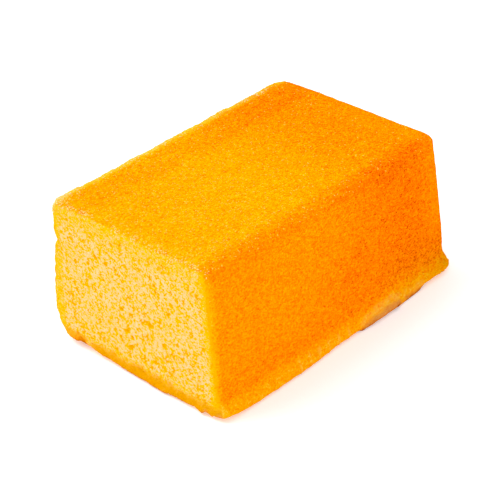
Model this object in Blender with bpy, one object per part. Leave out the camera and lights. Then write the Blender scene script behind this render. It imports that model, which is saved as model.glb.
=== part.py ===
"""A piece of butter cake, cut from a loaf that was baked in a tin and turned out upside down.

The tin's flat base is the cake's top, so the sides lean out on the way down to a flared foot, where the
batter met the tin's rim. The browned crust that was uppermost in the oven is underneath. The front is the
knife's cut, with the crumb's larger holes in it, and the far end is the tin's own end wall.

Metres, +Z up. X runs across the loaf, Y along it away from the cut, and Z up from the surface it rests on.
The block is shaped from the foot of its cut, and then moved so that the origin is at the middle of its base.
"""

import math
import random

import bmesh
import bpy
from mathutils import Vector, noise

MM = 0.001

# Driving dimensions
WIDTH_AT_BASE = 87 * MM  # across the sides where they reach the surface, without the flare
WIDTH_AT_TOP = 79 * MM
LENGTH_AT_BASE = 135.5 * MM  # from the cut to the end wall
LENGTH_AT_TOP = 129 * MM
HEIGHT = 59.5 * MM
CUT_LEAN = 0.8 * MM  # how far the cut's top hangs out over its foot
CUT_SKEW = 0.8 * MM  # how far the cut's right edge is nearer, and its left edge further, than its middle

# Radii of the edges along the loaf and at its end
TOP_EDGE = 6 * MM  # between the top and the sides, at the cut
END_TOP_EDGE = 1.5 * MM  # between the top and the end wall
END_CORNER = 9.5 * MM  # the tin's upright corners
FOOT_EDGE = 1.8 * MM  # between the right side and the underside
SHOULDER_ACROSS = 11.5 * MM  # the rounded lower left edge, where the loaf rose less
SHOULDER_UP = 16.5 * MM

# Radii of the edges round the cut, where the crust gave way a little under the knife
CUT_LEFT_EDGE = 5.6 * MM
CUT_RIGHT_EDGE = 1.4 * MM
CUT_TOP_EDGE = 0.6 * MM

# The flared foot
FOOT_HEIGHT = 13 * MM
FLARE_RIGHT = 3.0 * MM
FLARE_LEFT = 1.0 * MM
FLARE_END = 1.5 * MM
BELLY = 0.9 * MM  # more flare on the right, from the cut to BELLY_END
BELLY_END = 61 * MM

# The underside is flat in the middle, and rises evenly from there to its edges
FLAT_LEFT = 10 * MM  # how far the flat reaches from the loaf's middle line
FLAT_RIGHT = 22 * MM
FLAT_INSET = 8 * MM  # from the cut and from the end wall
LIFT_LEFT = 1.5 * MM
LIFT_RIGHT = 1.1 * MM  # at the cut
LIFT_FAR_RIGHT = 0.45 * MM  # from LIFT_FADE to the end wall
LIFT_FADE = 45 * MM
LIFT_ENDS = 0.24 * MM  # at the cut and at the end wall

# Relief
UNEVEN = 0.5 * MM  # how far the crust strays from true
UNEVEN_SPACING = 26 * MM
NOTCH_HEIGHT = 41 * MM  # a bite out of the cut's left edge
NOTCH_RADIUS = 4.5 * MM
NOTCH_DEPTH = 1.8 * MM
WORN_RADIUS = 8 * MM  # the crumbled near corner of the foot
WORN_DEPTH = 0.9 * MM
LIP_HEIGHT = 4.5 * MM  # the knob of batter at the foot of the far right corner
LIP_RADIUS = 6.5 * MM
LIP_DEPTH = 0.6 * MM

# Holes in the cut's crumb
HOLE_SHARE = 0.12  # of the cells of the cut that open into a hole
HOLE_MARGIN = 3.5 * MM  # the crust round the cut has no holes this large
HOLE_WALL = 0.22 * MM  # how far the walls slope in
HOLE_DEPTHS = (0.5 * MM, 1.3 * MM)
CELL_JITTER = 0.26  # of a cell's width, which makes the holes uneven
HOLE_SEED = 7

# Cells of the mesh across, along and up
CELLS = (26, 26, 18)
EDGE_STEPS = 4  # cells along the rounded edges of the cut
CROWDING = 0.35  # 0 spaces the cells evenly, and more draws them towards the edges

CRUST_COLOUR = (0.95, 0.36, 0.02, 1.0)
CRUST_ROUGHNESS = 0.75
CREASE_ANGLE = math.radians(50)  # sharper edges than this are shaded as edges


def mix(start, end, share):
    """The value that lies this share of the way from start to end."""
    return start + (end - start) * share


def ease(share):
    """0 to 1 with a soft start and finish, for a share that may lie outside that range."""
    share = min(max(share, 0.0), 1.0)
    return share * share * (3 - 2 * share)


def evenly_crowded(count):
    """Places from -1 to 1 that cut that range into a count of cells, closer together at its ends."""
    even = [2 * step / count - 1 for step in range(count + 1)]
    return [mix(place, math.sin(place * math.pi / 2), CROWDING) for place in even]


def places_along():
    """Places along the loaf, from -1 at the cut to 1, that follow the round of the cut's edges first."""
    turns = [math.pi / 2 * (1 - step / EDGE_STEPS) for step in range(EDGE_STEPS + 1)]
    near = [2 * CUT_LEFT_EDGE / LENGTH_AT_BASE * (1 - math.sin(turn)) - 1 for turn in turns]
    return near + [place for place in evenly_crowded(CELLS[1]) if place > 2 * near[-1] - near[-2]]


def edge_radii(place):
    """Radii across, along and up of the rounded edges nearest to a place on the unit cube."""
    side, end, level = place
    corners_start = 1 - END_CORNER / LENGTH_AT_BASE
    towards_end = min(1, (end + 1) / 2 / corners_start)
    if level > 0:
        across, up = TOP_EDGE, mix(TOP_EDGE, END_TOP_EDGE, towards_end)
    else:
        towards_right = ease((side + 1) / 2)
        across = mix(SHOULDER_ACROSS, FOOT_EDGE, towards_right)
        up = mix(SHOULDER_UP, FOOT_EDGE, towards_right)
    return Vector((mix(across, END_CORNER, towards_end), END_CORNER, up))


def rounded_block(place):
    """Moves a place on the unit cube to the block that the loaf starts from, rounded all but at the cut."""
    half = Vector((WIDTH_AT_BASE, LENGTH_AT_BASE, HEIGHT)) / 2
    radii = edge_radii(place)
    flat = Vector(share * size for share, size in zip(place, half))
    core = Vector(
        max(radius - size, min(size - radius, value))
        for value, size, radius in zip(flat, half, radii)
    )
    if place.y < 0:
        core.y = flat.y
    way = Vector((value - kept) / radius for value, kept, radius in zip(flat, core, radii))
    if way.length > 0:
        way *= max(abs(share) for share in way) / way.length
    rounded = core + Vector(share * radius for share, radius in zip(way, radii))
    return rounded + Vector((0, half.y, half.z))


def set_in(along, radius):
    """How far a rounded edge of the cut is set in, at a distance along the loaf from the cut."""
    from_round = min(max(1 - along / radius, 0.0), 1.0)
    return radius * (1 - math.sqrt(1 - from_round * from_round))


def cut_edges_rounded(point):
    radius = CUT_RIGHT_EDGE if point.x > 0 else CUT_LEFT_EDGE
    across = point.x * (1 - set_in(point.y, radius) / (WIDTH_AT_BASE / 2))
    up = point.z * (1 - set_in(point.y, CUT_TOP_EDGE) / HEIGHT)
    return Vector((across, point.y, up))


def leaned(point):
    """Leans the sides and the end out to the base, and sets the cut at its slight angles."""
    up = point.z / HEIGHT
    side = point.x / (WIDTH_AT_BASE / 2)
    near_cut = 1 - point.y / LENGTH_AT_BASE
    across = point.x * mix(1, WIDTH_AT_TOP / WIDTH_AT_BASE, up)
    along = point.y * mix(1, LENGTH_AT_TOP / LENGTH_AT_BASE, up)
    return Vector((across, along - (CUT_LEAN * up + CUT_SKEW * side) * near_cut, point.z))


def near_base(point):
    """1 at the surface that the cake rests on, fading to 0 at the top of the foot."""
    return max(0.0, 1 - point.z / FOOT_HEIGHT) ** 2


def flared(point):
    """Spreads the foot."""
    side = point.x / (WIDTH_AT_BASE / 2)
    if side > 0:
        flare = FLARE_RIGHT + BELLY * math.sin(math.pi * min(max(point.y / BELLY_END, 0), 1))
    else:
        flare = -FLARE_LEFT
    across = flare * abs(side) ** 3
    along = FLARE_END * max(0.0, point.y / LENGTH_AT_BASE) ** 6
    return point + Vector((across, along, 0)) * near_base(point)


def lifted(point):
    """Lifts the edges of the underside off the surface, and leaves its middle flat."""
    if point.x < 0:
        flat, side_lift = FLAT_LEFT, LIFT_LEFT
    else:
        flat, side_lift = FLAT_RIGHT, mix(LIFT_RIGHT, LIFT_FAR_RIGHT, ease(point.y / LIFT_FADE))
    outwards = max(0.0, abs(point.x) - flat) / (WIDTH_AT_BASE / 2 - flat)
    to_nearer_end = min(point.y, LENGTH_AT_BASE - point.y)
    endwards = max(0.0, 1 - to_nearer_end / FLAT_INSET)
    lift = side_lift * outwards + LIFT_ENDS * endwards
    return point + Vector((0, 0, lift * near_base(point)))


def swell(point, centre, radius, height):
    """How high a round swelling is at a point: its full height at the centre, and nothing at its radius."""
    return height * (1 - ease((point - centre).length / radius))


def uneven(point, outward):
    """Adds what the oven and the knife leave: a crust that strays from true, and three marks."""
    above_base = ease(point.z / FOOT_HEIGHT)
    moved = point + outward * UNEVEN * noise.noise(point / UNEVEN_SPACING) * above_base
    notch = Vector((-WIDTH_AT_TOP / 2, CUT_LEFT_EDGE / 2, NOTCH_HEIGHT))
    moved.x += swell(point, notch, NOTCH_RADIUS, NOTCH_DEPTH)
    near_corner = Vector((WIDTH_AT_BASE / 2 + FLARE_RIGHT, 0, 0))
    worn = swell(point, near_corner, WORN_RADIUS, WORN_DEPTH)
    lip = Vector((WIDTH_AT_BASE / 2, LENGTH_AT_BASE - END_CORNER / 2, LIP_HEIGHT))
    knob = swell(point, lip, LIP_RADIUS, LIP_DEPTH)
    return moved + Vector((knob - worn, (knob + worn) / 2, 0))


def inside_front(place):
    return place.y == -1 and abs(place.x) < 1 and abs(place.z) < 1


def unit_block():
    """A cube from -1 to 1, its faces cut into cells, with finer cells inside its front face."""
    block = bmesh.new()
    places = [evenly_crowded(CELLS[0]), places_along(), evenly_crowded(CELLS[2])]
    corners = {}

    def corner(steps):
        if steps not in corners:
            corners[steps] = block.verts.new([axis[step] for axis, step in zip(places, steps)])
        return corners[steps]

    for axis in range(3):
        first, second = (axis + 1) % 3, (axis + 2) % 3
        last = len(places[axis]) - 1
        for level in (0, last):
            for i in range(len(places[first]) - 1):
                for j in range(len(places[second]) - 1):
                    loop = []
                    for di, dj in ((0, 0), (1, 0), (1, 1), (0, 1)):
                        steps = [0, 0, 0]
                        steps[axis], steps[first], steps[second] = level, i + di, j + dj
                        loop.append(corner(tuple(steps)))
                    block.faces.new(loop if level else loop[::-1])
    inner = [edge for edge in block.edges if all(inside_front(vert.co) for vert in edge.verts)]
    bmesh.ops.subdivide_edges(block, edges=inner, cuts=1, use_grid_fill=True)
    return block


def in_crumb(point):
    """Whether a point of the cut lies inside its margin of crust."""
    half_width = mix(WIDTH_AT_BASE, WIDTH_AT_TOP, point.z / HEIGHT) / 2
    from_left = point.x + half_width - CUT_LEFT_EDGE
    return min(from_left, half_width - point.x, point.z, HEIGHT - point.z) > HOLE_MARGIN


def open_holes(block, cut):
    """Jitters the cells inside the cut, and sinks a seeded share of them into holes."""
    draw = random.Random(HOLE_SEED)
    loose = [vert for vert in cut if in_crumb(vert.co)]
    for vert in loose:
        reach = CELL_JITTER * min(edge.calc_length() for edge in vert.link_edges)
        vert.co += Vector((draw.uniform(-reach, reach), 0, draw.uniform(-reach, reach)))
    loose = set(loose)
    cells = [face for face in block.faces if loose.issuperset(face.verts)]
    for face in [cell for cell in cells if draw.random() < HOLE_SHARE]:
        depth = mix(*HOLE_DEPTHS, draw.random() ** 2)
        bmesh.ops.inset_region(block, faces=[face], thickness=HOLE_WALL)
        for vert in face.verts:
            vert.co.y += depth


def set_on_middle_of_base(block):
    """Moves the block so that the origin is at the middle of the base of the box round it."""
    spans = [[vert.co[axis] for vert in block.verts] for axis in range(3)]
    base = Vector([(min(spans[0]) + max(spans[0])) / 2, (min(spans[1]) + max(spans[1])) / 2, min(spans[2])])
    bmesh.ops.translate(block, verts=block.verts, vec=-base)


def crust_material():
    material = bpy.data.materials.new("golden_crust")
    material.use_nodes = True
    shader = material.node_tree.nodes["Principled BSDF"]
    shader.inputs["Base Color"].default_value = CRUST_COLOUR
    shader.inputs["Roughness"].default_value = CRUST_ROUGHNESS
    shader.inputs["Metallic"].default_value = 0.0
    return material


def butter_cake():
    block = unit_block()
    cut = [vert for vert in block.verts if inside_front(vert.co)]
    for vert in block.verts:
        vert.co = lifted(flared(leaned(cut_edges_rounded(rounded_block(vert.co)))))
    block.normal_update()
    outwards = {vert: vert.normal.copy() for vert in block.verts}
    for vert, outward in outwards.items():
        vert.co = uneven(vert.co, outward)
    open_holes(block, cut)
    set_on_middle_of_base(block)
    bmesh.ops.triangulate(block, faces=block.faces)
    mesh = bpy.data.meshes.new("butter_cake")
    block.to_mesh(mesh)
    block.free()
    mesh.shade_smooth()
    mesh.set_sharp_from_angle(angle=CREASE_ANGLE)
    mesh.materials.append(crust_material())
    cake = bpy.data.objects.new("butter_cake", mesh)
    bpy.context.scene.collection.objects.link(cake)


def main():
    for old in list(bpy.data.objects):
        bpy.data.objects.remove(old, do_unlink=True)
    butter_cake()


main()
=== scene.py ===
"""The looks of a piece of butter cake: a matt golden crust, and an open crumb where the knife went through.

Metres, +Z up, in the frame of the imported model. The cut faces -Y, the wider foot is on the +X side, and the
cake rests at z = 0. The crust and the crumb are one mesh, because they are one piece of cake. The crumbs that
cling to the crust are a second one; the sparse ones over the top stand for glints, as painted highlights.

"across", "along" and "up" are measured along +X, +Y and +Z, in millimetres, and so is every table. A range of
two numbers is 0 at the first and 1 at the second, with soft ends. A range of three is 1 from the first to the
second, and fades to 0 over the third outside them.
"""

import math
import bmesh
import bpy
import numpy as np
from mathutils import Matrix, Vector, noise


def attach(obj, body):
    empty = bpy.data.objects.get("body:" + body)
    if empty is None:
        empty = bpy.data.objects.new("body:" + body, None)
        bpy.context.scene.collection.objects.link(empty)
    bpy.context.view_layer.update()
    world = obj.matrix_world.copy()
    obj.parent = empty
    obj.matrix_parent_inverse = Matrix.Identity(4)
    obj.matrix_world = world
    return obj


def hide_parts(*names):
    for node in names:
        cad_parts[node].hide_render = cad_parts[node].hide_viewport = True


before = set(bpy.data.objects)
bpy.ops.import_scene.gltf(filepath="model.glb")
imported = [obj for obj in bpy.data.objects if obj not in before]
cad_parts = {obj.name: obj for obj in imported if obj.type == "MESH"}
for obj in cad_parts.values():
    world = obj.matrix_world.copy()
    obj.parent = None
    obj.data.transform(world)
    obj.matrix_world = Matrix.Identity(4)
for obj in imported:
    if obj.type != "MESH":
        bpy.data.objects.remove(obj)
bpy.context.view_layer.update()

MM = 0.001

# The mesh
CRUST_CELL = 1.17 * MM  # even quads all over
CUT_SPLITS = 3  # cuts across each quad that lies on the cut, so that they are four times finer
CUT_DEPTH = 2.0 * MM  # quads whose corners all lie this near to the cut are made finer

# The knife's surface, as it is fitted to the solid
CUT_ORDER = 3  # a polynomial of this order across and up
CUT_REACH = 3 * MM  # fitted to what lies this near to the foremost point
CUT_ROUNDS = 6
CUT_STRAY = 0.12 * MM  # what lies further behind it than this is left out of the next round
CUT_FOOT = -68.2  # where it meets the surface, along

# The holes of the solid: how far behind the cut their floors lie, and where on the cut they are
HOLE_LEAST, HOLE_MOST = 0.3 * MM, 2 * MM
HOLES_HALF_WIDTH = 37 * MM
HOLES_FROM, HOLES_TO = 3 * MM, 57 * MM

# The layers of fine, uneven holes in the crumb: cell, share of the cells with a hole, radii and depths
HOLE_LAYERS = (
    {"cell": 0.95, "share": 0.42, "radius": (0.21, 0.33), "depth": (0.10, 0.20)},
    {"cell": 1.9, "share": 0.40, "radius": (0.31, 0.50), "depth": (0.16, 0.30)},
)
HOLE_SEED = 11
HOLE_PLACE = (0.05, 0.95)  # where in its cell a hole lies, as a share of the cell
HOLE_STRETCH = (1.0, 1.9)  # how much longer than round it is
HOLE_SLIMMING = 0.3  # and the power of this by which it is slimmer
HOLE_LEAN = -38  # degrees
HOLE_LEAN_SPREAD = 30
HOLE_LIP = (1.15, 0.7)  # where it opens, as a share of its radius
NO_HOLE = 1e-6  # the least radius that distances are divided by, which leaves no hole
HOLE_WAVER = 0.30  # how far all outlines waver
HOLE_WAVE = 1.2

# The larger holes, which lie where the solid has them. Most are drawn in, and a few stay wide.
LARGE_SLIM = (0.55, 0.95)
LARGE_LEAN_SPREAD = 35
LARGE_LEAST, LARGE_MORE, LARGE_RARITY = 0.50, 0.80, 12
LARGE_LIP = (1.15, 0.65)
LARGE_DEPTH = 0.5

# The widest holes: place across and up, half width and half height, lean in degrees
WIDE_HOLES = (
    (8.8, 26.8, 1.5, 1.1, -10),
    (6.6, 27.5, 1.0, 0.6, -20),
    (-17.3, 44.4, 1.1, 0.85, -40),
    (-21.7, 40.2, 0.65, 0.7, 0),
    (12.1, 44.9, 0.8, 0.6, 0),
    (12.5, 42.6, 0.5, 1.0, 10),
    (-1.8, 12.6, 1.1, 0.9, -40),
    (-0.7, 17.5, 1.1, 0.65, -45),
    (-3.1, 19.2, 1.2, 0.7, 10),
    (-6.7, 15.4, 0.65, 0.6, 0),
    (18.4, 35.6, 0.8, 0.75, 0),
    (-5.5, 27.7, 1.0, 0.6, 0),
)
WIDE_DEPTH = 0.45
WIDE_OPEN = 2  # how open they count for the finish, where the other holes count 1

# The crust's relief, and how much of it the crumb keeps. A cloud's texture is its fractal power, the growth
# from each of its octaves to the next, and how many it has.
CLOUD_TEXTURE = (0.9, 2.1, 2)
SWELL, SWELL_SPACING = 0.14, 3.4
GRAIN, GRAIN_SPACING = 0.09, 1.7
RAGGED_SPACING = 1.1
CRUMB_KEEPS = 0.3

# Where the crust gives way to crumb behind the cut, and the dense foot of the crumb to open crumb. Both lines
# stray with the noise.
CRUMB_BEHIND, CRUMB_ROUGH, CRUMB_RAGGED, LEAST_CRUMB = (0.72, 0.25), 0.32, 0.3, 0.001
DENSE_FOOT, DENSE_STRAY = (3.2, 5.6), 0.7
# The ragged edge between the cut and the top
TOP_EDGE = {"behind": (0.1, 1.8, 0.8), "up": (50, 56)}
TOP_EDGE_RELIEF, TOP_EDGE_SINK = 0.45, 0.2

# The right side and its foot, by how much of the way that the crust faces is across
RIGHT_FACES, FOOT_FACES, FOOT_FROM = (0.2, 0.6), (0.0, 0.5), 30

# Short upright folds in the foot of the right side, from the tin's lining
FOLDS = {"along": (-31, 1, 3), "up": (2.0, 5.0, 2.5)}
FOLD_SPACING, FOLD_LEAN, FOLD_STRAY, FOLD_HEIGHT = 5.6, 0.12, 0.9, 0.25

# The skin of the underside, which rolls out below the right foot: how far up it comes, by place along it
SKIN_ALONG = (5, 9, 16, 28, 30.5, 33, 38, 44, 54)
SKIN_REACH = (0, 2.0, 3.5, 3.7, 3.0, 2.2, 2.2, 1.8, 0.6)
FOOT_LEDGE = {"up": (3.2, 1.0), "along": (-60, 8, 4)}
LEDGE_HEIGHT = 0.5
ROLL = {"along": (10, 52, 4), "over_skin": (0.5, -1.2)}
ROLL_HEIGHT, ROLL_MORE, ROLL_GROWS = 1.5, 0.5, (30, 36)
GROOVE_OVER, GROOVE_HALF, GROOVE_DEPTH = 0.3, 0.5, 0.25
BROWN_SKIN = {"over_skin": (0.5, -0.5), "along": (6, 52, 3)}
SKIN_STRAY = 0.3
PALE_OVER_SKIN = {"along": (10, 45, 6), "over_skin": (1.0, 2.4, 1.8)}
PALE_LIGHT, PALE_GRAIN = 0.8, 0.6

# Spots on the right foot: place along and up, half widths along and up, height and browning. The second
# spot's browning is painted shade behind the pale lump of the first.
FOOT_SPOTS = (
    ((32.5, 0.9), (2.6, 1.1), 0.5, -1.3),
    # painted shade behind the lump
    ((29, 1.9), (1.6, 0.9), 0, 0.6),
    ((61, 1), (4.5, 1.8), 0.4, 0),
)
# Creases through the roll: where they start along the foot, and how much they lean
CREASES = ((30.5, 0.5), (34.0, 0.7), (38.0, 0.4))
CREASE_HALF, CREASE_DEPTH, CREASE_SHADE, CREASE_UP = 0.8, 0.25, 0.6, (1, 6, 2)

# The crumbly knob at the far corner, and the dip over it: place along and up, half widths along and up
KNOB = ((61, 5), (4.5, 4.0))
KNOB_RELIEF, KNOB_SINK = 1.2, 0.2
KNOB_DIP = ((62, 7), (4.5, 3.5))
KNOB_DIP_DEPTH = 1.3

# The rim along the left of the top, and the near corner of the top. Both are ragged, and both are painted
# lighter: a painted highlight where the key light falls on them.
RIM = {"across": (-44, -37, 3), "up": (54, 57)}
RIM_HEIGHT, RIM_GRAIN, RIM_SWELL, RIM_SWELL_SPACING = 0.3, 0.25, 0.3, 7.0
RIM_HIGHLIGHT, RIM_HIGHLIGHT_GRAIN = 0.5, 0.7
NEAR_CORNER = {"across": (-32, -38), "along": (CUT_FOOT + 9, CUT_FOOT + 3), "up": (51, 56)}
NEAR_CORNER_RELIEF, NEAR_CORNER_HIGHLIGHT, NEAR_CORNER_HIGHLIGHT_GRAIN = 0.35, 1.0, 0.8

# The browned fold at the foot of the cut's left corner, and how much browner its inner part is, which is
# partly painted shade along its inner edge
CORNER_FOLD = {"across": (-24.4, -26.8), "up": (7.6, 4.8), "behind": (5, 2)}
CORNER_BROWN, CORNER_MORE, CORNER_INNER, CORNER_STRAY = 0.9, 0.6, (-36, -27.5), 0.8
# Browned spots at the foot of the cut: place across and up, half widths, browning, and reach behind the cut
CUT_SPOTS = (
    ((-27.0, 2.0), (1.6, 1.3), 0.3, (3, 1)),
    ((34.6, 1.6), (0.9, 1.0), 0.9, (3, 1)),
    ((41.0, 2.4), (1.1, 1.0), 1.0, (4, 2)),
)
BROWN_EDGE = {"behind": (2.0, 0.5), "up": (1.7, 0.6)}
EDGE_BROWN, BROWN_STRAY = 0.9, 1.6
EDGE_STRAY, EDGE_STRAY_SPACING = 0.5, 1.3

# How the foot of the cut strays: place across, rise of its edge, and bulge towards the knife
CUT_EDGE = (
    (-38, 0.0, 0.0),
    (-36, 0.0, 0.3),
    (-34.5, 0.4, 0.5),
    (-31.4, 1.1, 0.4),
    (-28.5, 2.3, 0.2),
    (-26, 2.0, 0.0),
    (-22, 1.6, 0.0),
    (-19, 0.9, 0.0),
    (-14, 0.8, 0.0),
    (-10, 0.5, 0.0),
    (-6, 0.1, 0.1),
    (2, 0.0, 0.4),
    (5, 0.3, 0.5),
    (8, 0.0, 0.8),
    (14, 0.0, 1.0),
    (18, 0.4, 0.7),
    (24, 0.0, 0.3),
    (29, 0.4, 0.2),
    (33, 0.0, 0.9),
    (35, 0.9, 0.3),
    (38, 0.0, 0.3),
    (42, 0.0, 0.0),
)
BULGE = {"behind": (4, 1), "up": (4.5, 0.5)}
RISE = {"behind": (6.0, 0.5), "up": (5.0, 0.8)}

# The cut's left margin, which wavers. Its notch and the swelling under it: how far up, half height and depth
MARGIN = {"across": (-33, -39), "behind": (6, 1), "up": (5, 9)}
MARGIN_WAVER, MARGIN_WAVE = 0.45, 2.2
MARGIN_SPOTS = ((43.8, 1.5, 1.0), (39.5, 2.5, -0.4))

# The crumbs that cling to the crust: their chance, the height above which it holds, whether they cluster, and
# its ranges. "facing_up" is the upward part of the way that the crust faces. The first two rows spread sparse
# specks over the top, which stand for glints: painted highlights.
FLECK_CHANCES = (
    # sparse specks over the top: painted highlights for glints
    (0.16, 50, False, {"facing_up": (0.6, 0.9)}),
    (0.5, 50, False, {"facing_up": (0.6, 0.9), "along": (35, -50)}),
    (4.0, 50, True, {"facing_up": (0.6, 0.9), "along": (CUT_FOOT + 5.5, CUT_FOOT + 2)}),
    (7.0, 54, True, {"facing_up": (0.2, 0.6), "across": (30, 22), "along": (CUT_FOOT + 3.5, CUT_FOOT + 1.5)}),
    (1.5, 57, True, {"across": (26, 30, 2), "along": (-30, -62)}),
    (4.5, 50, False, {"facing_up": (0.6, 0.9), "across": (-31, -36), "along": (-54, -62)}),
    (5.0, 54, True, {"facing_up": (0.1, 0.4), "across": (-35.5, -38)}),
)
FLECKS = 2800
FLECK_SEED = 5
FLECK_RADIUS = (0.09, 0.23)
FLECK_SIDES = ((1.2, 2.4), (0.7, 1.2), (0.6, 1.0))  # length, width and height, as shares of the radius
FLECK_SLIDE = 0.6
FLECK_STANDS = 0.2  # how far its middle stands over the crust, as a share of its radius
FLECK_TURN, FLECK_TURN_SPREAD = 0.9, 0.7
CLUSTER_SPACING, CLUSTERED = 5.0, (-0.1, 0.5)

# The six sides laid out flat on a square: where each faces, the two axes it is drawn along, the place of its
# lower left corner, and its scale
LAYOUT = (
    ((0, 0, 1), (0, 1), (1, 1), 1.0),
    ((-1, 0, 0), (2, 1), (91, 1), 1.0),
    ((1, 0, 0), (2, 1), (153, 1), 1.0),
    ((0, 0, -1), (0, 1), (215, 1), 0.5),
    ((0, -1, 0), (0, 2), (1, 141), 1.8),
    ((0, 1, 0), (0, 2), (163, 141), 1.0),
)
LAYOUT_SIZE = 261.0

# The floor, the light and the camera, in metres and degrees
FLOOR_HALF, FLOOR_DROP = 3.0, 0.0001
KEY_FROM, KEY_STRENGTH, KEY_WIDTH = (-0.5, -0.35, 0.8), 1.6, 40
CAMERA_AZIMUTH, CAMERA_ELEVATION, CAMERA_ROLL = 41.951, 31.616, -0.985
CAMERA_AIM = (0.0525, -5.1613, 24.881)  # millimetres
CAMERA_DISTANCE = 0.708207
LENS, SENSOR, NEAREST = 136.318, 36, 0.05


# ---------------------------------------------------------------- ranges, spots and noise


def ease(values, low, high):
    """0 at low and 1 at high, with a soft start and finish. low may be the higher."""
    share = np.clip((values - low) / (high - low), 0, 1)
    return share * share * (3 - 2 * share)


def bump(values, low, high, edge):
    """1 from low to high, fading to 0 over an edge outside them."""
    return ease(values, low - edge, low) * ease(values, high + edge, high)


def in_range(axis, low, high, edge=None):
    """The value of a range at each place of an array, or over a finish's level."""
    if isinstance(axis, Level):
        return axis.step(low, high) if edge is None else axis.between(low, high, edge)
    return ease(axis, low, high) if edge is None else bump(axis, low, high, edge)


def within(ranges, axes):
    """1 where all the ranges hold, and 0 well outside any. The axes are arrays, or a finish's levels."""
    first, *rest = [in_range(axes[name], *limits) for name, limits in ranges.items()]
    return math.prod(rest, start=first)


def spot(axes, middle, halves):
    """1 in the middle of a soft spot, which fades away over its half width along each of the axes."""
    return np.exp(-sum(((axis - at) / half) ** 2 for axis, at, half in zip(axes, middle, halves)))


def cloud(places, spacing, shift=0.0):
    """Smooth noise, about -1 to 1, whose lumps are a spacing apart. A shift gives another noise."""
    offset = Vector((shift, -shift, shift))
    return np.array([noise.fractal(Vector(p) / spacing + offset, *CLOUD_TEXTURE) for p in places])


def turned(across, up, lean):
    """How far places lie along a line that leans by an angle, and how far over it."""
    return across * np.cos(lean) + up * np.sin(lean), up * np.cos(lean) - across * np.sin(lean)


# ---------------------------------------------------------------- the cut and the holes of the solid


def points_of(mesh):
    places = np.empty(len(mesh.vertices) * 3)
    mesh.vertices.foreach_get("co", places)
    return places.reshape(-1, 3)


def powers(across, up):
    """The terms of the polynomial that the cut follows. They are worked out in centimetres."""
    across, up = across * 100, up * 100
    orders = [(i, j) for i in range(CUT_ORDER + 1) for j in range(CUT_ORDER + 1 - i)]
    return np.stack([across**i * up**j for i, j in orders], axis=-1)


class Cut:
    """The knife's surface, without the holes that the solid has in it."""

    def __init__(self, mesh):
        places = points_of(mesh)
        near = places[places[:, 1] < places[:, 1].min() + CUT_REACH]
        kept = np.ones(len(near), bool)
        for _ in range(CUT_ROUNDS):
            terms = powers(near[:, 0], near[:, 2])
            self.weights = np.linalg.lstsq(terms[kept], near[kept, 1], rcond=None)[0]
            kept = near[:, 1] - terms @ self.weights < CUT_STRAY

    def behind(self, places):
        """How far places lie behind the cut."""
        return places[:, 1] - powers(places[:, 0], places[:, 2]) @ self.weights


def hole_floors(mesh, cut):
    """Groups of the vertices that lie on the floor of each hole in the cut."""
    places = points_of(mesh)
    across, _, up = places.T
    depth = cut.behind(places)
    sunk = (depth > HOLE_LEAST) & (depth < HOLE_MOST)
    inside = (np.abs(across) < HOLES_HALF_WIDTH) & (up > HOLES_FROM) & (up < HOLES_TO)
    sunk = set(np.flatnonzero(sunk & inside))
    touching = {index: set() for index in sunk}
    for edge in mesh.edges:
        a, b = edge.vertices
        if a in sunk and b in sunk:
            touching[a].add(b)
            touching[b].add(a)
    floors = []
    while sunk:
        floor, ahead = set(), [sunk.pop()]
        while ahead:
            index = ahead.pop()
            floor.add(index)
            ahead += touching[index] - floor
        sunk -= floor
        floors.append(sorted(floor))
    return floors


def hole_sizes(mesh, cut, floors):
    """Centre, radius and depth of each hole."""
    places = points_of(mesh)
    behind = cut.behind(places)
    sizes = []
    for floor in floors:
        own = places[floor]
        spread = own.max(axis=0) - own.min(axis=0)
        sizes.append((own.mean(axis=0), (spread[0] + spread[2]) / 4, float(behind[floor].mean())))
    return sizes


def even_mesh(node, cut, floors):
    """A closed mesh of even quads over the node, with its holes filled level, and finer quads on the cut."""
    mesh = node.data.copy()
    places = points_of(mesh)
    behind = cut.behind(places)
    for floor in floors:
        places[floor, 1] -= behind[floor]
    mesh.vertices.foreach_set("co", places.ravel())
    draft = bpy.data.objects.new("draft", mesh)
    bpy.context.scene.collection.objects.link(draft)
    remesh = draft.modifiers.new("even", "REMESH")
    remesh.mode = "VOXEL"
    remesh.voxel_size = CRUST_CELL
    depsgraph = bpy.context.evaluated_depsgraph_get()
    even = bpy.data.meshes.new_from_object(draft.evaluated_get(depsgraph))
    bpy.data.objects.remove(draft)
    even.materials.clear()

    near = cut.behind(points_of(even)) < CUT_DEPTH
    shape = bmesh.new()
    shape.from_mesh(even)
    edges = {edge for face in shape.faces if all(near[v.index] for v in face.verts) for edge in face.edges}
    bmesh.ops.subdivide_edges(shape, edges=list(edges), cuts=CUT_SPLITS, use_grid_fill=True)
    shape.normal_update()
    shape.to_mesh(even)
    shape.free()
    return even


# ---------------------------------------------------------------- relief


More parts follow.
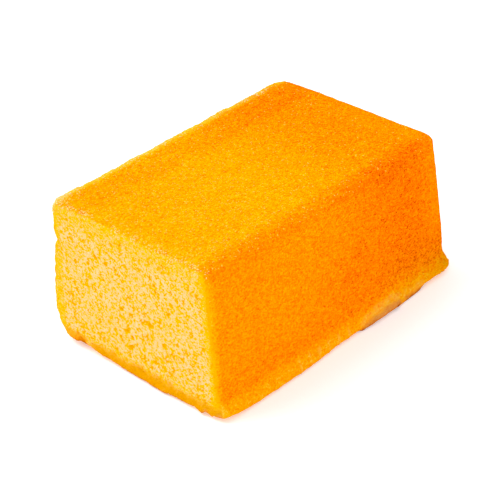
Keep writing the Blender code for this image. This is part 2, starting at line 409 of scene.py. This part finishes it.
def hole_layer(across, up, layer, draw):
    """How open a layer of holes is at places on the cut, from 0 to 1, and how deep it is."""
    cell = layer["cell"]
    lowest = np.array([across.min(), up.min()]) - 2 * cell
    column = ((across - lowest[0]) / cell).astype(int)
    row = ((up - lowest[1]) / cell).astype(int)
    size = (column.max() + 3, row.max() + 3)
    shift = draw.uniform(*HOLE_PLACE, size + (2,))
    radius = draw.uniform(*layer["radius"], size)
    radius[draw.random(size) > layer["share"]] = 0
    depth = draw.uniform(*layer["depth"], size)
    turn = np.radians(draw.normal(HOLE_LEAN, HOLE_LEAN_SPREAD, size))
    stretch = draw.uniform(*HOLE_STRETCH, size)
    opened, sunk = np.zeros(len(across)), np.zeros(len(across))
    for i in (-1, 0, 1):
        for j in (-1, 0, 1):
            c, r = column + i, row + j
            du = across - (lowest[0] + (c + shift[c, r, 0]) * cell)
            dv = up - (lowest[1] + (r + shift[c, r, 1]) * cell)
            along, over = turned(du, dv, turn[c, r])
            away = np.hypot(along / stretch[c, r], over * stretch[c, r] ** HOLE_SLIMMING)
            here = ease(away / np.maximum(radius[c, r], NO_HOLE), *HOLE_LIP)
            sunk = np.maximum(sunk, here * depth[c, r])
            opened = np.maximum(opened, here)
    return opened, sunk


def crumb_relief(places, holes):
    """How open the crumb is at places on the cut, from 0 in its walls to WIDE_OPEN, and how deep."""
    draw = np.random.default_rng(HOLE_SEED)
    across = places[:, 0] + HOLE_WAVER * cloud(places, HOLE_WAVE, shift=3.0)
    up = places[:, 2] + HOLE_WAVER * cloud(places, HOLE_WAVE, shift=8.0)
    opened, sunk = np.zeros(len(places)), np.zeros(len(places))
    for layer in HOLE_LAYERS:
        more, deeper = hole_layer(across, up, layer, draw)
        opened, sunk = np.maximum(opened, more), np.maximum(sunk, deeper)
    for centre, radius, depth in holes:
        slim, turn = draw.uniform(*LARGE_SLIM), math.radians(draw.normal(HOLE_LEAN, LARGE_LEAN_SPREAD))
        grown = LARGE_LEAST + LARGE_MORE * draw.random() ** LARGE_RARITY
        along, over = turned(across - centre[0] / MM, up - centre[2] / MM, turn)
        reach = max(grown * radius / MM, NO_HOLE)
        here = ease(np.hypot(along, over / slim) / reach, *LARGE_LIP)
        opened = np.maximum(opened, here)
        sunk = np.maximum(sunk, here * min(grown * depth / MM, LARGE_DEPTH))
    for left, high, half_width, half_height, lean in WIDE_HOLES:
        along, over = turned(across - left, up - high, np.radians(lean))
        here = ease(np.hypot(along / half_width, over / half_height), *HOLE_LIP)
        opened = np.maximum(opened, here * WIDE_OPEN)
        sunk = np.maximum(sunk, here * WIDE_DEPTH)
    return opened, sunk


class Marks:
    """What the marks on the crust add up to at each place: height, lightness and browning. The lightness
    holds painted highlights and painted shade as well as paler crust, and the browning holds some painted
    shade.
    """

    def __init__(self, count):
        self.height, self.light, self.brown = np.zeros(count), np.zeros(count), np.zeros(count)

    def add(self, where, height=0.0, light=0.0, brown=0.0):
        self.height += where * height
        self.light += where * light
        self.brown += where * brown


def mark_foot(marks, axes, right, foot, rough):
    """The right foot: folds from the tin's lining, and the skin of the underside that rolls out below it."""
    along, up = axes["along"], axes["up"]
    fold = np.cos((along - FOLD_LEAN * up) * math.tau / FOLD_SPACING + FOLD_STRAY * rough)
    marks.add(within(FOLDS, axes) * right * np.maximum(fold, 0) ** 3, height=FOLD_HEIGHT, light=1)

    over_skin = up - np.interp(along, SKIN_ALONG, SKIN_REACH)
    axes = {**axes, "over_skin": over_skin}
    marks.add(within(FOOT_LEDGE, axes) * foot, height=LEDGE_HEIGHT)
    marks.add(within(ROLL, axes) * foot, height=ROLL_HEIGHT + ROLL_MORE * ease(along, *ROLL_GROWS))
    groove = bump(along, *ROLL["along"]) * spot([over_skin], [GROOVE_OVER], [GROOVE_HALF])
    marks.add(groove * foot, height=-GROOVE_DEPTH)
    marks.add(within(BROWN_SKIN, {**axes, "over_skin": over_skin + SKIN_STRAY * rough}) * foot, brown=1)
    marks.add(within(PALE_OVER_SKIN, axes) * right, light=PALE_LIGHT + PALE_GRAIN * rough)
    for middle, halves, height, brown in FOOT_SPOTS:
        marks.add(spot((along, up), middle, halves) * foot, height=height, brown=brown)
    for start, lean in CREASES:
        crease = spot([along - lean * up], [start], [CREASE_HALF]) * bump(up, *CREASE_UP) * right
        marks.add(crease, height=-CREASE_DEPTH, light=-CREASE_SHADE)
    knob = spot((along, up), *KNOB) * right
    marks.add(knob, height=KNOB_RELIEF * rough - KNOB_SINK, light=np.maximum(rough, 0))
    marks.add(spot((along, up), *KNOB_DIP) * right, height=-KNOB_DIP_DEPTH)


def crust_marks(places, outward, rough):
    """The marks of the right foot, the left rim and the near corner of the top, where their lightness is a
    painted highlight.
    """
    across, along, up = places.T
    axes = {"across": across, "along": along, "up": up}
    marks = Marks(len(places))
    right = ease(outward[:, 0], *RIGHT_FACES) * (across > 0)
    foot = ease(outward[:, 0], *FOOT_FACES) * (across > FOOT_FROM)
    mark_foot(marks, axes, right, foot, rough)
    swell = cloud(places, RIM_SWELL_SPACING, shift=40.0)
    rim_height = RIM_HEIGHT + RIM_GRAIN * rough + RIM_SWELL * swell
    rim_highlight = RIM_HIGHLIGHT + RIM_HIGHLIGHT_GRAIN * np.maximum(rough, 0)
    marks.add(within(RIM, axes), height=rim_height, light=rim_highlight)
    corner_highlight = NEAR_CORNER_HIGHLIGHT + NEAR_CORNER_HIGHLIGHT_GRAIN * rough
    marks.add(within(NEAR_CORNER, axes), height=NEAR_CORNER_RELIEF * rough, light=corner_highlight)
    return marks


def brown_and_shade_cut_foot(marks, axes, rough, stray):
    """The browned fold at the cut's left corner, browner by its inner edge partly as painted shade, a few
    browned spots, and the cut's ragged lower edge.
    """
    across, up, behind = axes["across"], axes["up"], axes["behind"]
    fold = within(CORNER_FOLD, {**axes, "up": up + CORNER_STRAY * rough})
    # partly painted shade: browner towards the fold's inner edge
    marks.add(fold, brown=CORNER_BROWN + CORNER_MORE * ease(across, *CORNER_INNER))
    for middle, halves, brown, reach in CUT_SPOTS:
        marks.add(spot((across, up), middle, halves) * ease(behind, *reach), brown=brown)
    marks.add(within(BROWN_EDGE, {**axes, "up": up + BROWN_STRAY * stray}), brown=EDGE_BROWN)


def move_cut_edges(places, axes, stray):
    """The foot of the cut strays from true, and so does its left margin, which has a notch."""
    where, rise, bulge = np.array(CUT_EDGE).T
    rise = np.maximum(np.interp(axes["across at first"], where, rise) + stray, 0)
    bulge = np.interp(axes["across at first"], where, bulge)
    places[:, 1] -= bulge * within(BULGE, axes)
    places[:, 2] += rise * within(RISE, axes)
    margin = within(MARGIN, axes)
    places[:, 0] += margin * MARGIN_WAVER * cloud(places, MARGIN_WAVE, shift=90.0)
    for high, half, depth in MARGIN_SPOTS:
        places[:, 0] += margin * depth * spot([axes["up"]], [high], [half])
    places[:, 2] = np.maximum(places[:, 2], 0)


def lay_out(mesh, places, outward):
    """The map on which the cake's finish can be baked: its six sides laid out flat, with the cut enlarged."""
    corners = np.empty(len(mesh.loops), int)
    mesh.loops.foreach_get("vertex_index", corners)
    starts = np.empty(len(mesh.polygons), int)
    mesh.polygons.foreach_get("loop_start", starts)
    facing = np.add.reduceat(outward[corners], starts, axis=0)
    towards = np.array([row[0] for row in LAYOUT])
    side = np.repeat((facing @ towards.T).argmax(axis=1), np.diff(np.append(starts, len(corners))))
    lowest = places.min(axis=0)
    flat = np.empty((len(corners), 2))
    for index, (_, axes, corner, scale) in enumerate(LAYOUT):
        here = side == index
        flat[here] = (places[corners[here]] - lowest)[:, axes] * scale + corner
    mesh.uv_layers.new(name="OFBake").uv.foreach_set("vector", (flat / LAYOUT_SIZE).ravel())


def cake_mesh(node):
    """The crust and the crumb. Each point also holds what the finish is told about it."""
    cut = Cut(node.data)
    floors = hole_floors(node.data, cut)
    mesh = even_mesh(node, cut, floors)
    outward = np.empty(len(mesh.vertices) * 3)
    mesh.vertices.foreach_get("normal", outward)
    outward = outward.reshape(-1, 3)
    places = points_of(mesh) / MM
    behind = cut.behind(places * MM) / MM
    across, along, up = places.T  # these follow the places as they move
    axes = {"across": across, "along": along, "up": up, "behind": behind, "across at first": across.copy()}

    lay_out(mesh, places, outward)
    rough = cloud(places, GRAIN_SPACING, shift=20.0)
    ragged = cloud(places, RAGGED_SPACING, shift=60.0)
    crumb = ease(behind + CRUMB_ROUGH * rough + CRUMB_RAGGED * ragged, *CRUMB_BEHIND)
    on_cut = np.flatnonzero(crumb > LEAST_CRUMB)
    opened, sunk = np.zeros(len(places)), np.zeros(len(places))
    opened[on_cut], sunk[on_cut] = crumb_relief(places[on_cut], hole_sizes(node.data, cut, floors))
    open_crumb = crumb * ease(up + DENSE_STRAY * rough, *DENSE_FOOT)
    opened *= open_crumb
    sunk *= open_crumb

    marks = crust_marks(places, outward, rough)
    marks.add(SWELL * cloud(places, SWELL_SPACING) + GRAIN * rough, height=1)
    marks.add(within(TOP_EDGE, axes) * (ragged - TOP_EDGE_SINK), height=TOP_EDGE_RELIEF)
    height = marks.height * (CRUMB_KEEPS + (1 - CRUMB_KEEPS) * (1 - crumb)) - sunk
    stray = EDGE_STRAY * cloud(places * (1, 0, 0), EDGE_STRAY_SPACING, shift=70.0)
    brown_and_shade_cut_foot(marks, axes, rough, stray)
    places += outward * height[:, None]
    move_cut_edges(places, axes, stray)

    mesh.vertices.foreach_set("co", (places * MM).ravel())
    measures = {"crumb": crumb, "opened": opened, "light": marks.light, "brown": marks.brown}
    for name, values in measures.items():
        layer = mesh.attributes.new(name, "FLOAT", "POINT")
        layer.data.foreach_set("value", values.astype(np.float32))
    mesh.shade_smooth()
    mesh.update()
    return mesh


def round_ball():
    """The corners and the sides of a small ball of unit radius."""
    shape = bmesh.new()
    bmesh.ops.create_icosphere(shape, subdivisions=1, radius=1)
    shape.verts.index_update()
    corners = [vertex.co.copy() for vertex in shape.verts]
    sides = np.array([[vertex.index for vertex in face.verts] for face in shape.faces])
    shape.free()
    return corners, sides


def fleck_mesh(cake):
    """Pale crumbs that cling to the crust, thickest near the cut and along the ridge. The sparse ones over
    the top stand for glints, as painted highlights.
    """
    draw = np.random.default_rng(FLECK_SEED)
    faces = cake.data.polygons
    centres = np.array([face.center for face in faces]) / MM
    outward = np.array([face.normal for face in faces])
    areas = np.array([face.area for face in faces])
    across, along, up = centres.T
    axes = {"across": across, "along": along, "facing_up": outward[:, 2]}
    clusters = ease(cloud(centres, CLUSTER_SPACING, shift=30.0), *CLUSTERED)
    chance = np.zeros(len(centres))
    for share, least, clustered, ranges in FLECK_CHANCES:
        chance += share * (up > least) * within(ranges, axes) * (clusters if clustered else 1)
    chance *= areas
    picked = draw.choice(len(centres), FLECKS, replace=True, p=chance / chance.sum())

    ball, sides = round_ball()
    points, triangles = [], []
    for index in picked:
        radius = draw.uniform(*FLECK_RADIUS) * MM
        scale = Vector([draw.uniform(*limits) for limits in FLECK_SIDES]) * radius
        normal = Vector(outward[index])
        slide = Vector(draw.uniform(-FLECK_SLIDE, FLECK_SLIDE, 3)) * MM
        slide -= normal * slide.dot(normal)
        place = Vector(centres[index] * MM) + slide + normal * radius * FLECK_STANDS
        spin = Matrix.Rotation(draw.normal(FLECK_TURN, FLECK_TURN_SPREAD), 4, "Z")
        tip = normal.to_track_quat("Z", "Y").to_matrix().to_4x4()
        matrix = Matrix.Translation(place) @ tip @ spin @ Matrix.Diagonal((*scale, 1))
        triangles += (sides + len(points)).tolist()
        points += [matrix @ corner for corner in ball]
    flecks = bpy.data.meshes.new("crumbs_and_glints")
    flecks.from_pydata(points, [], triangles)
    return flecks


# ---------------------------------------------------------------- how a finish is worked out

SPECK_CORE, SPECK_LEEWAY = 0.4, 0.02  # how far out a speck is whole, and how softly cells with one are told


class Level:
    """A number that varies over a surface. Arithmetic on it adds the Math nodes that work it out."""

    def __init__(self, finish, socket):
        self.finish, self.socket = finish, socket

    def maths(self, operation, first, second):
        return self.finish.node("ShaderNodeMath", {"operation": operation}, {0: first, 1: second})

    def __add__(self, other):
        return self.maths("ADD", self, other)

    def __radd__(self, other):
        return self.maths("ADD", other, self)

    def __sub__(self, other):
        return self.maths("SUBTRACT", self, other)

    def __rsub__(self, other):
        return self.maths("SUBTRACT", other, self)

    def __mul__(self, other):
        return self.maths("MULTIPLY", self, other)

    def __rmul__(self, other):
        return self.maths("MULTIPLY", other, self)

    def step(self, low, high):
        """0 at low and 1 at high, with a soft start and finish."""
        settings = {"interpolation_type": "SMOOTHSTEP"}
        return self.finish.node("ShaderNodeMapRange", settings, {0: self, 1: low, 2: high, 3: 0.0, 4: 1.0})

    def between(self, low, high, edge):
        """1 from low to high, fading to 0 over an edge outside them."""
        return self.step(low - edge, low) * self.step(high + edge, high)


class Finish:
    """A material, and the nodes that colour it. Places are in millimetres."""

    def __init__(self, name):
        self.material = bpy.data.materials.new(name)
        self.material.use_nodes = True
        self.tree = self.material.node_tree
        self.shader = self.tree.nodes["Principled BSDF"]

    def node(self, kind, settings, sockets, output=0):
        """Adds a node. Its settings are set first, and then the values or links of its sockets."""
        node = self.tree.nodes.new(kind)
        for name, value in settings.items():
            setattr(node, name, value)
        for key, value in sockets.items():
            if isinstance(value, Level):
                self.tree.links.new(value.socket, node.inputs[key])
            else:
                node.inputs[key].default_value = value
        return Level(self, node.outputs[output])

    def stretched(self, vector, scale):
        return self.node("ShaderNodeVectorMath", {"operation": "MULTIPLY"}, {0: vector, 1: scale})

    def place(self):
        return self.stretched(self.node("ShaderNodeTexCoord", {}, {}, "Object"), (1 / MM,) * 3)

    def axis(self, place, name):
        return self.node("ShaderNodeSeparateXYZ", {}, {0: place}, name)

    def measured(self, name):
        """A number that the mesh holds for each of its points."""
        return self.node("ShaderNodeAttribute", {"attribute_name": name}, {}, "Fac")

    def clouds(self, place, spacing, detail, roughness, seed):
        """Noise from -1 to 1 with lumps a spacing apart."""
        settings = {"noise_dimensions": "4D"}
        sockets = {"Vector": place, "W": seed, "Scale": 1 / spacing, "Detail": detail, "Roughness": roughness}
        return self.node("ShaderNodeTexNoise", settings, sockets) * 2 - 1

    def specks(self, place, spacing, radius, share):
        """1 inside round specks, of which this share of cells a spacing apart holds one."""
        cells = {"Vector": place, "Scale": 1 / spacing}
        away = self.node("ShaderNodeTexVoronoi", {}, cells, "Distance")
        chance = self.axis(self.node("ShaderNodeTexVoronoi", {}, cells, "Color"), "X")
        inside = away.step(radius / spacing, radius / spacing * SPECK_CORE)
        return inside * chance.step(share * (1 + SPECK_LEEWAY), share * (1 - SPECK_LEEWAY))

    def blend(self, share, first, second):
        """A colour this share of the way from the first to the second."""
        first, second = [(*colour, 1) if isinstance(colour, tuple) else colour for colour in (first, second)]
        return self.node("ShaderNodeMix", {"data_type": "RGBA"}, {0: share, 6: first, 7: second}, 2)

    def ramp(self, level, stops):
        """A colour read from stops of place and colour."""
        made = self.node("ShaderNodeValToRGB", {}, {0: level})
        scale = made.socket.node.color_ramp
        for index, (place, colour) in enumerate(stops):
            stop = scale.elements[index] if index < 2 else scale.elements.new(place)
            stop.position, stop.color = place, (*colour, 1)
        return made

    def set(self, **values):
        for name, value in values.items():
            socket = self.shader.inputs[name.replace("_", " ")]
            if isinstance(value, Level):
                self.tree.links.new(value.socket, socket)
            else:
                socket.default_value = value


def tinted(level, tints, at):
    """A level with the amount of each tint added where its ranges hold."""
    for amount, ranges in tints:
        level = level + within(ranges, at) * amount
    return level


def mixed(shares, at):
    """The sum of levels, each by its share."""
    first, *rest = [at[name] * share for name, share in shares.items()]
    return sum(rest, start=first)


# ---------------------------------------------------------------- the finishes of this cake

# Noise on the crust and the crumb: spacing, detail, roughness, seed, and whether it is drawn out along
CAKE_NOISE = {
    "fine": (0.42, 1.0, 0.5, 1.0, True),
    "grain": (0.85, 2.0, 0.6, 2.0, True),
    "patch": (4.0, 2.0, 0.5, 3.0, False),
    "broad": (13.0, 2.0, 0.5, 4.0, False),
}
DRAWN_OUT = (1, 0.66, 1)
SMALL_NOISE = (0.72, 1.0, 0.5, 6.0)
SMALL_LEAN, SMALL_STRETCH = 38, (0.7, 1, 1)

# The crust's colour is read from its share of green, which these tints raise or lower. The top's share is
# higher than the side's, and on the top it falls towards the far end: partly the crust's own tone, partly
# painted light, as the light falls most on the top and on its near end.
TOP = {"across": (34.8, 28.8), "up": (50.0, 57.0)}
TOP_GREEN = 0.338
TOP_TINTS = (
    # partly painted shade: the top darkens towards the far end, away from the light
    (-0.115, {"along": (-20.0, 48.0)}),
    (0.012, {"along": (46.0, 54.0)}),
    (-0.044, {"across": (-32.0, -24.0, 6.0)}),
    # painted light: the top is lighter towards the cut, where the light falls most
    (0.04, {"from_cut": (11.0, 1.0)}),
)
SIDE_GREEN = 0.258
SIDE_TINTS = (
    (-0.088, {"along": (-18.0, 42.0)}),
    (-0.018, {"up": (11.0, 15.0, 4.0)}),
    # lighter towards the foot: partly the foot's own paler band, partly painted light from the bright floor
    (0.115, {"up": (9.5, 4.0)}),
    # painted light: a glow of light through the thin crust by the cut
    (0.12, {"from_cut": (4.0, 0.6)}),
    (0.075, {"along": (5.0, 30.0), "up": (18.0, 8.0)}),
    (-0.026, {"along": (-8.0, 8.0, 14.0), "up": (22.0, 30.0, 8.0)}),
    (0.045, {"along": (44.0, 56.0), "up": (16.0, 28.0)}),
)
RIDGE_TINTS = (
    (-0.012, {"across": (32.0, 37.5, 2.5), "up": (54.0, 57.0)}),
    # painted light: the far edge of the top is lighter, where it turns from the key light
    (0.12, {"along": (61.5, 64.5), "up": (52.0, 57.0)}),
)
# painted highlight: the left edge of the top is lighter
LEFT_HIGHLIGHT, LEFT_HIGHLIGHT_TINT = (-34.5, -39.0), 0.10
MOTTLE = {"grain": 0.20, "fine": 0.27, "patch": 0.035, "broad": 0.02}
MOTTLE_SIDE, MOTTLE_TOP_MORE = 0.92, 0.08
LIGHT_TINT = 0.05
# Pores in the crust, which are more open towards the far end
CRUST_PORES = {"spacing": 1.3, "radius": 0.36, "share": 0.14}
PORES_ALONG, PORES_NEAR, PORES_MORE = (0.0, 50.0), 0.2, 0.8
PORE_TINT, SCORCHED_PORE_TINT = -0.0125, -0.0225
# The far foot of the side is scorched in specks, deeper by the corner, and duller all over
SCORCHED = {"along": (5.0, 35.0), "up": (24.0, 10.0), "over_foot": (3.0, 6.5)}
SCORCHED_GRAIN = 0.13
DEEP = {"along": (40.0, 56.0), "up": (14.0, 9.0)}
DEEP_GRAIN, DEEP_TINT = 0.09, -0.02
DULLED = {"along": (5.0, 40.0), "up": (32.0, 12.0)}
DULLED_SHARE, DEEP_SHARE = 0.15, 0.10
CHARRED = {"along": (12.0, 52.0), "grain": (-0.05, -0.40)}
CHARRED_SHARE = 0.34
PALE, PALE_SHARE = (0.2, 1.6), 0.55

# The crust's colours, at the share of green light that each gives back, and the crumb's from wall to hole
CRUST_TONES = [
    (0.0, (0.52, 0.03, 0.0)),
    (0.08, (0.78, 0.09, 0.0)),
    (0.14, (0.93, 0.15, 0.0)),
    (0.20, (1.0, 0.20, 0.0)),
    (0.44, (1.0, 0.44, 0.0)),
    (0.56, (1.0, 0.56, 0.06)),
    (0.75, (1.0, 0.75, 0.40)),
]
CRUMB_TONES = [
    (0.0, (1.0, 0.59, 0.34)),
    (0.2, (1.0, 0.54, 0.245)),
    (0.36, (1.0, 0.49, 0.12)),
    (0.46, (1.0, 0.47, 0.02)),
    (0.53, (1.0, 0.46, 0.0)),
    (0.75, (1.0, 0.44, 0.0)),
    (1.0, (1.0, 0.50, 0.0)),
]
DENSE_TONES = [(0.0, (0.66, 0.25, 0.0)), (0.5, (0.70, 0.31, 0.0)), (1.0, (0.77, 0.39, 0.03))]
SKIN_TONES = [
    (0.0, (0.28, 0.05, 0.0)),
    (0.35, (0.58, 0.16, 0.01)),
    (0.7, (0.72, 0.26, 0.045)),
    (1.0, (0.80, 0.35, 0.055)),
]
FOLD_TONES = [(0.0, (0.30, 0.06, 0.0)), (0.5, (0.66, 0.20, 0.0)), (1.0, (0.85, 0.35, 0.01))]
FLECK_TONES = [(0.0, (1.0, 0.45, 0.0)), (1.0, (1.0, 0.58, 0.10))]
PALE_CRUST, DULL_CRUST, CHARRED_CRUST = (1.0, 0.44, 0.08), (0.45, 0.19, 0.0), (0.42, 0.13, 0.0)
RIND, PALE_FLECK = (1.0, 0.40, 0.0), (1.0, 0.68, 0.30)

# The crumb turns golden by the crust and in the dense band along its foot. Its holes are painted light:
# golden for the glow of light scattered in them, and darker in the widest, for painted shade.
CRUMB_TONE = 0.27
CRUMB_MIX = {"small": 0.22, "fine": 0.42, "patch": 0.12}
GOLD_SPOTS, GOLD_SPOTS_TONE = (0.22, 0.36), 0.4
GOLDEN_TINTS = (
    (0.16, {"up": (48.0, 58.0)}),
    (0.22, {"to_rind": (36.5, 39.5)}),
    (0.20, {"across": (-34.5, -37.5)}),
    (0.12, {"patchy_up": (9.5, 6.5)}),
)
# painted light in the holes: the glow of light scattered in them, and painted shade in the widest
HOLE_GLOW_AND_SHADE = (
    ((0.0, 0.11), (1.0, 0.475, 0.0)),
    ((0.45, 0.85), (1.0, 0.43, 0.0)),
    ((1.0, 1.8), (0.78, 0.36, 0.0)),
)
RIND_FROM = (39.2, 40.6)
DENSE = {"dense_up": (7.4, 4.0), "across": (-27.0, -20.0)}
DENSE_TONE = 0.22
DENSE_MIX = {"grain": 0.4, "patch": 0.5, "up": 0.07}

# The browned skin underneath, which has tones of its own in the fold at the cut's left corner
SKIN_TONE = 0.20
SKIN_MIX = {"grain": 0.3, "patch": 0.25, "up": 0.19}
BURNT, BURNT_TONE = (1.0, 1.6), 0.6
LEFT_FOLD = (-18.0, -22.0)
UNDERSIDE, UNDERSIDE_SHARE = (0.9, 0.1), 0.9

# The cut runs a little skew, the right side leans out to its foot, and the crumb's golden bands stray
CUT_SKEW, SIDE_LEAN, PATCH_STRAY, SMALL_STRAY = 0.018, 0.071, 2.6, 1.2
FINE_RELIEF = {"fine": 0.45, "grain": 0.55}

# The clinging crumbs and the painted glints: their noise, and how much paler they are near the cut and along
# the left rim
FLECK_NOISE = (1.2, 1.0, 0.5, 9.0)
FLECK_BY_CUT, BY_CUT_SHARE = (CUT_FOOT + 4.0, CUT_FOOT + 1.5), 0.6
FLECK_BY_RIM, BY_RIM_SHARE = (-33.5, -37.0), 0.75


def crust_colour(finish, at):
    """Yellow by the cut and deeper towards the far end, with a scorched foot there. The lighter top, lightest
    at its near end, is partly painted light, and the yellow by the cut is a painted glow of light through the
    thin crust.
    """
    on_top = within(TOP, at)
    # painted highlight along the left edge of the top
    left_highlight = at["across"].step(*LEFT_HIGHLIGHT) * (at["patch"] + 1) * LEFT_HIGHLIGHT_TINT
    top = tinted(TOP_GREEN, TOP_TINTS, at) + left_highlight
    side = tinted(SIDE_GREEN, SIDE_TINTS, at)
    green = side + (top - side) * on_top
    green = green + mixed(MOTTLE, at) * (on_top * MOTTLE_TOP_MORE + MOTTLE_SIDE) + at["light"] * LIGHT_TINT
    green = tinted(green, RIDGE_TINTS, at)

    scorched = within(SCORCHED, at) * (1 - on_top)
    deep = within(DEEP, at)
    pores = finish.specks(at["place"], **CRUST_PORES) * (on_top + 1)
    pores = pores * (at["along"].step(*PORES_ALONG) * PORES_MORE + PORES_NEAR)
    green = green + pores * (scorched * SCORCHED_PORE_TINT + PORE_TINT)
    green = green + scorched * (at["grain"] * (deep * DEEP_GRAIN + SCORCHED_GRAIN) + deep * DEEP_TINT)

    colour = finish.ramp(green, CRUST_TONES)
    # the marks' lightness paints the crust paler, with the painted highlights on the left rim and the near
    # corner
    colour = finish.blend(at["light"].step(*PALE) * PALE_SHARE, colour, PALE_CRUST)
    dulled = within(DULLED, at) * (1 - on_top) * (deep * DEEP_SHARE + DULLED_SHARE)
    colour = finish.blend(dulled, colour, DULL_CRUST)
    return finish.blend(scorched * within(CHARRED, at) * CHARRED_SHARE, colour, CHARRED_CRUST)


def crumb_colour(finish, at):
    """Pale walls, holes painted golden for the glow of light in them and darker for shade in the widest, and
    a dense band along its foot.
    """
    tone = mixed(CRUMB_MIX, at) + at["small"].step(*GOLD_SPOTS) * GOLD_SPOTS_TONE + CRUMB_TONE
    colour = finish.ramp(tinted(tone, GOLDEN_TINTS, at), CRUMB_TONES)
    for limits, hole_glow_and_shade in HOLE_GLOW_AND_SHADE:
        colour = finish.blend(at["opened"].step(*limits), colour, hole_glow_and_shade)
    colour = finish.blend(at["to_rind"].step(*RIND_FROM), colour, RIND)
    dense = finish.ramp(mixed(DENSE_MIX, at) + DENSE_TONE, DENSE_TONES)
    return finish.blend(within(DENSE, at), colour, dense)


def skin_colour(finish, at):
    """The browned skin underneath, which shows along the foot."""
    baked = mixed(SKIN_MIX, at) + SKIN_TONE - at["brown"].step(*BURNT) * BURNT_TONE
    folded = at["across"].step(*LEFT_FOLD)
    return finish.blend(folded, finish.ramp(baked, SKIN_TONES), finish.ramp(baked, FOLD_TONES))


def cake_finish():
    finish = Finish("golden_cake")
    place = finish.place()
    at = {name: finish.axis(place, axis) for name, axis in (("across", "X"), ("along", "Y"), ("up", "Z"))}
    at |= {name: finish.measured(name) for name in ("crumb", "opened", "light", "brown")}
    drawn_out = finish.stretched(place, DRAWN_OUT)
    for name, (*texture, drawn) in CAKE_NOISE.items():
        at[name] = finish.clouds(drawn_out if drawn else place, *texture)
    lean = {"Vector": place, "Rotation": (0, math.radians(SMALL_LEAN), 0), "Scale": SMALL_STRETCH}
    at["small"] = finish.clouds(finish.node("ShaderNodeMapping", {}, lean), *SMALL_NOISE)
    at["place"] = place
    at["from_cut"] = at["along"] - CUT_FOOT + at["across"] * CUT_SKEW
    at["to_rind"] = at["across"] + at["up"] * SIDE_LEAN
    at["over_foot"] = at["up"]
    at["patchy_up"] = at["up"] + at["patch"] * PATCH_STRAY
    at["dense_up"] = at["patchy_up"] + at["small"] * SMALL_STRAY

    colour = finish.blend(at["crumb"], crust_colour(finish, at), crumb_colour(finish, at))
    browned = at["brown"] + at["up"].step(*UNDERSIDE) * UNDERSIDE_SHARE
    browned = finish.node("ShaderNodeClamp", {}, {0: browned})
    colour = finish.blend(browned, colour, skin_colour(finish, at))
    relief = {"Height": mixed(FINE_RELIEF, at), "Strength": 0.8, "Distance": 0.5 * MM}
    normal = finish.node("ShaderNodeBump", {}, relief)
    finish.set(Base_Color=colour, Normal=normal, Roughness=0.8, Specular_IOR_Level=0.0)
    finish.set(Subsurface_Weight=0.1, Subsurface_Radius=(1.0, 0.75, 0.3), Subsurface_Scale=MM)
    return finish.material


def fleck_finish():
    """Golden, and paler near the cut and along the left rim."""
    finish = Finish("pale_crumbs_and_glints")
    place = finish.place()
    colour = finish.ramp(finish.clouds(place, *FLECK_NOISE) * 0.5 + 0.5, FLECK_TONES)
    by_cut = finish.axis(place, "Y").step(*FLECK_BY_CUT) * BY_CUT_SHARE
    by_rim = finish.axis(place, "X").step(*FLECK_BY_RIM) * BY_RIM_SHARE
    colour = finish.blend(by_rim + by_cut, colour, PALE_FLECK)
    finish.set(Base_Color=colour, Roughness=0.8, Specular_IOR_Level=0.02)
    return finish.material


# ---------------------------------------------------------------- the pieces, the floor, light and camera


def add(name, mesh, material):
    piece = bpy.data.objects.new(name, mesh)
    bpy.context.scene.collection.objects.link(piece)
    mesh.materials.append(material)
    return piece


def add_floor():
    mesh = bpy.data.meshes.new("floor")
    corners = [(FLOOR_HALF * x, FLOOR_HALF * y, 0) for x, y in ((-1, -1), (1, -1), (1, 1), (-1, 1))]
    mesh.from_pydata(corners, [], [(0, 1, 2, 3)])
    finish = Finish("pale_floor")
    finish.set(Base_Color=(0.85, 0.85, 0.85, 1), Roughness=0.9, Specular_IOR_Level=0.0)
    finish.set(Emission_Color=(1, 1, 1, 1), Emission_Strength=0.3)
    floor = add("floor", mesh, finish.material)
    floor.location.z = -FLOOR_DROP


def add_light():
    world = bpy.data.worlds.new("studio")
    bpy.context.scene.world = world
    world.use_nodes = True
    back = world.node_tree.nodes["Background"]
    back.inputs["Color"].default_value = (1, 1, 1, 1)
    back.inputs["Strength"].default_value = 1.0
    key = bpy.data.lights.new("key", "SUN")
    key.energy = KEY_STRENGTH
    key.angle = math.radians(KEY_WIDTH)
    lamp = bpy.data.objects.new("key", key)
    lamp.rotation_euler = Vector(KEY_FROM).to_track_quat("Z", "Y").to_euler()
    bpy.context.scene.collection.objects.link(lamp)


def add_camera():
    azimuth, elevation, roll = map(math.radians, (CAMERA_AZIMUTH, CAMERA_ELEVATION, CAMERA_ROLL))
    level_part = math.cos(elevation)
    back = Vector((math.sin(azimuth) * level_part, -math.cos(azimuth) * level_part, math.sin(elevation)))
    level = Vector((0, 0, 1)).cross(back).normalized()
    over = back.cross(level)
    right = level * math.cos(roll) + over * math.sin(roll)
    facing = Matrix((right, back.cross(right), back)).transposed().to_4x4()
    lens = bpy.data.cameras.new("camera")
    lens.lens = LENS
    lens.sensor_width = SENSOR
    lens.clip_start = NEAREST
    camera = bpy.data.objects.new("camera", lens)
    camera.matrix_world = Matrix.Translation(Vector(CAMERA_AIM) * MM + back * CAMERA_DISTANCE) @ facing
    bpy.context.scene.collection.objects.link(camera)
    bpy.context.scene.camera = camera


bpy.context.scene.view_settings.view_transform = "Standard"
cake = add("cake", cake_mesh(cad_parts["butter_cake"]), cake_finish())
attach(cake, "root")
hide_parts("butter_cake")
flecks = add("crumbs_and_glints", fleck_mesh(cake), fleck_finish())
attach(flecks, "root")
add_floor()
add_light()
add_camera()
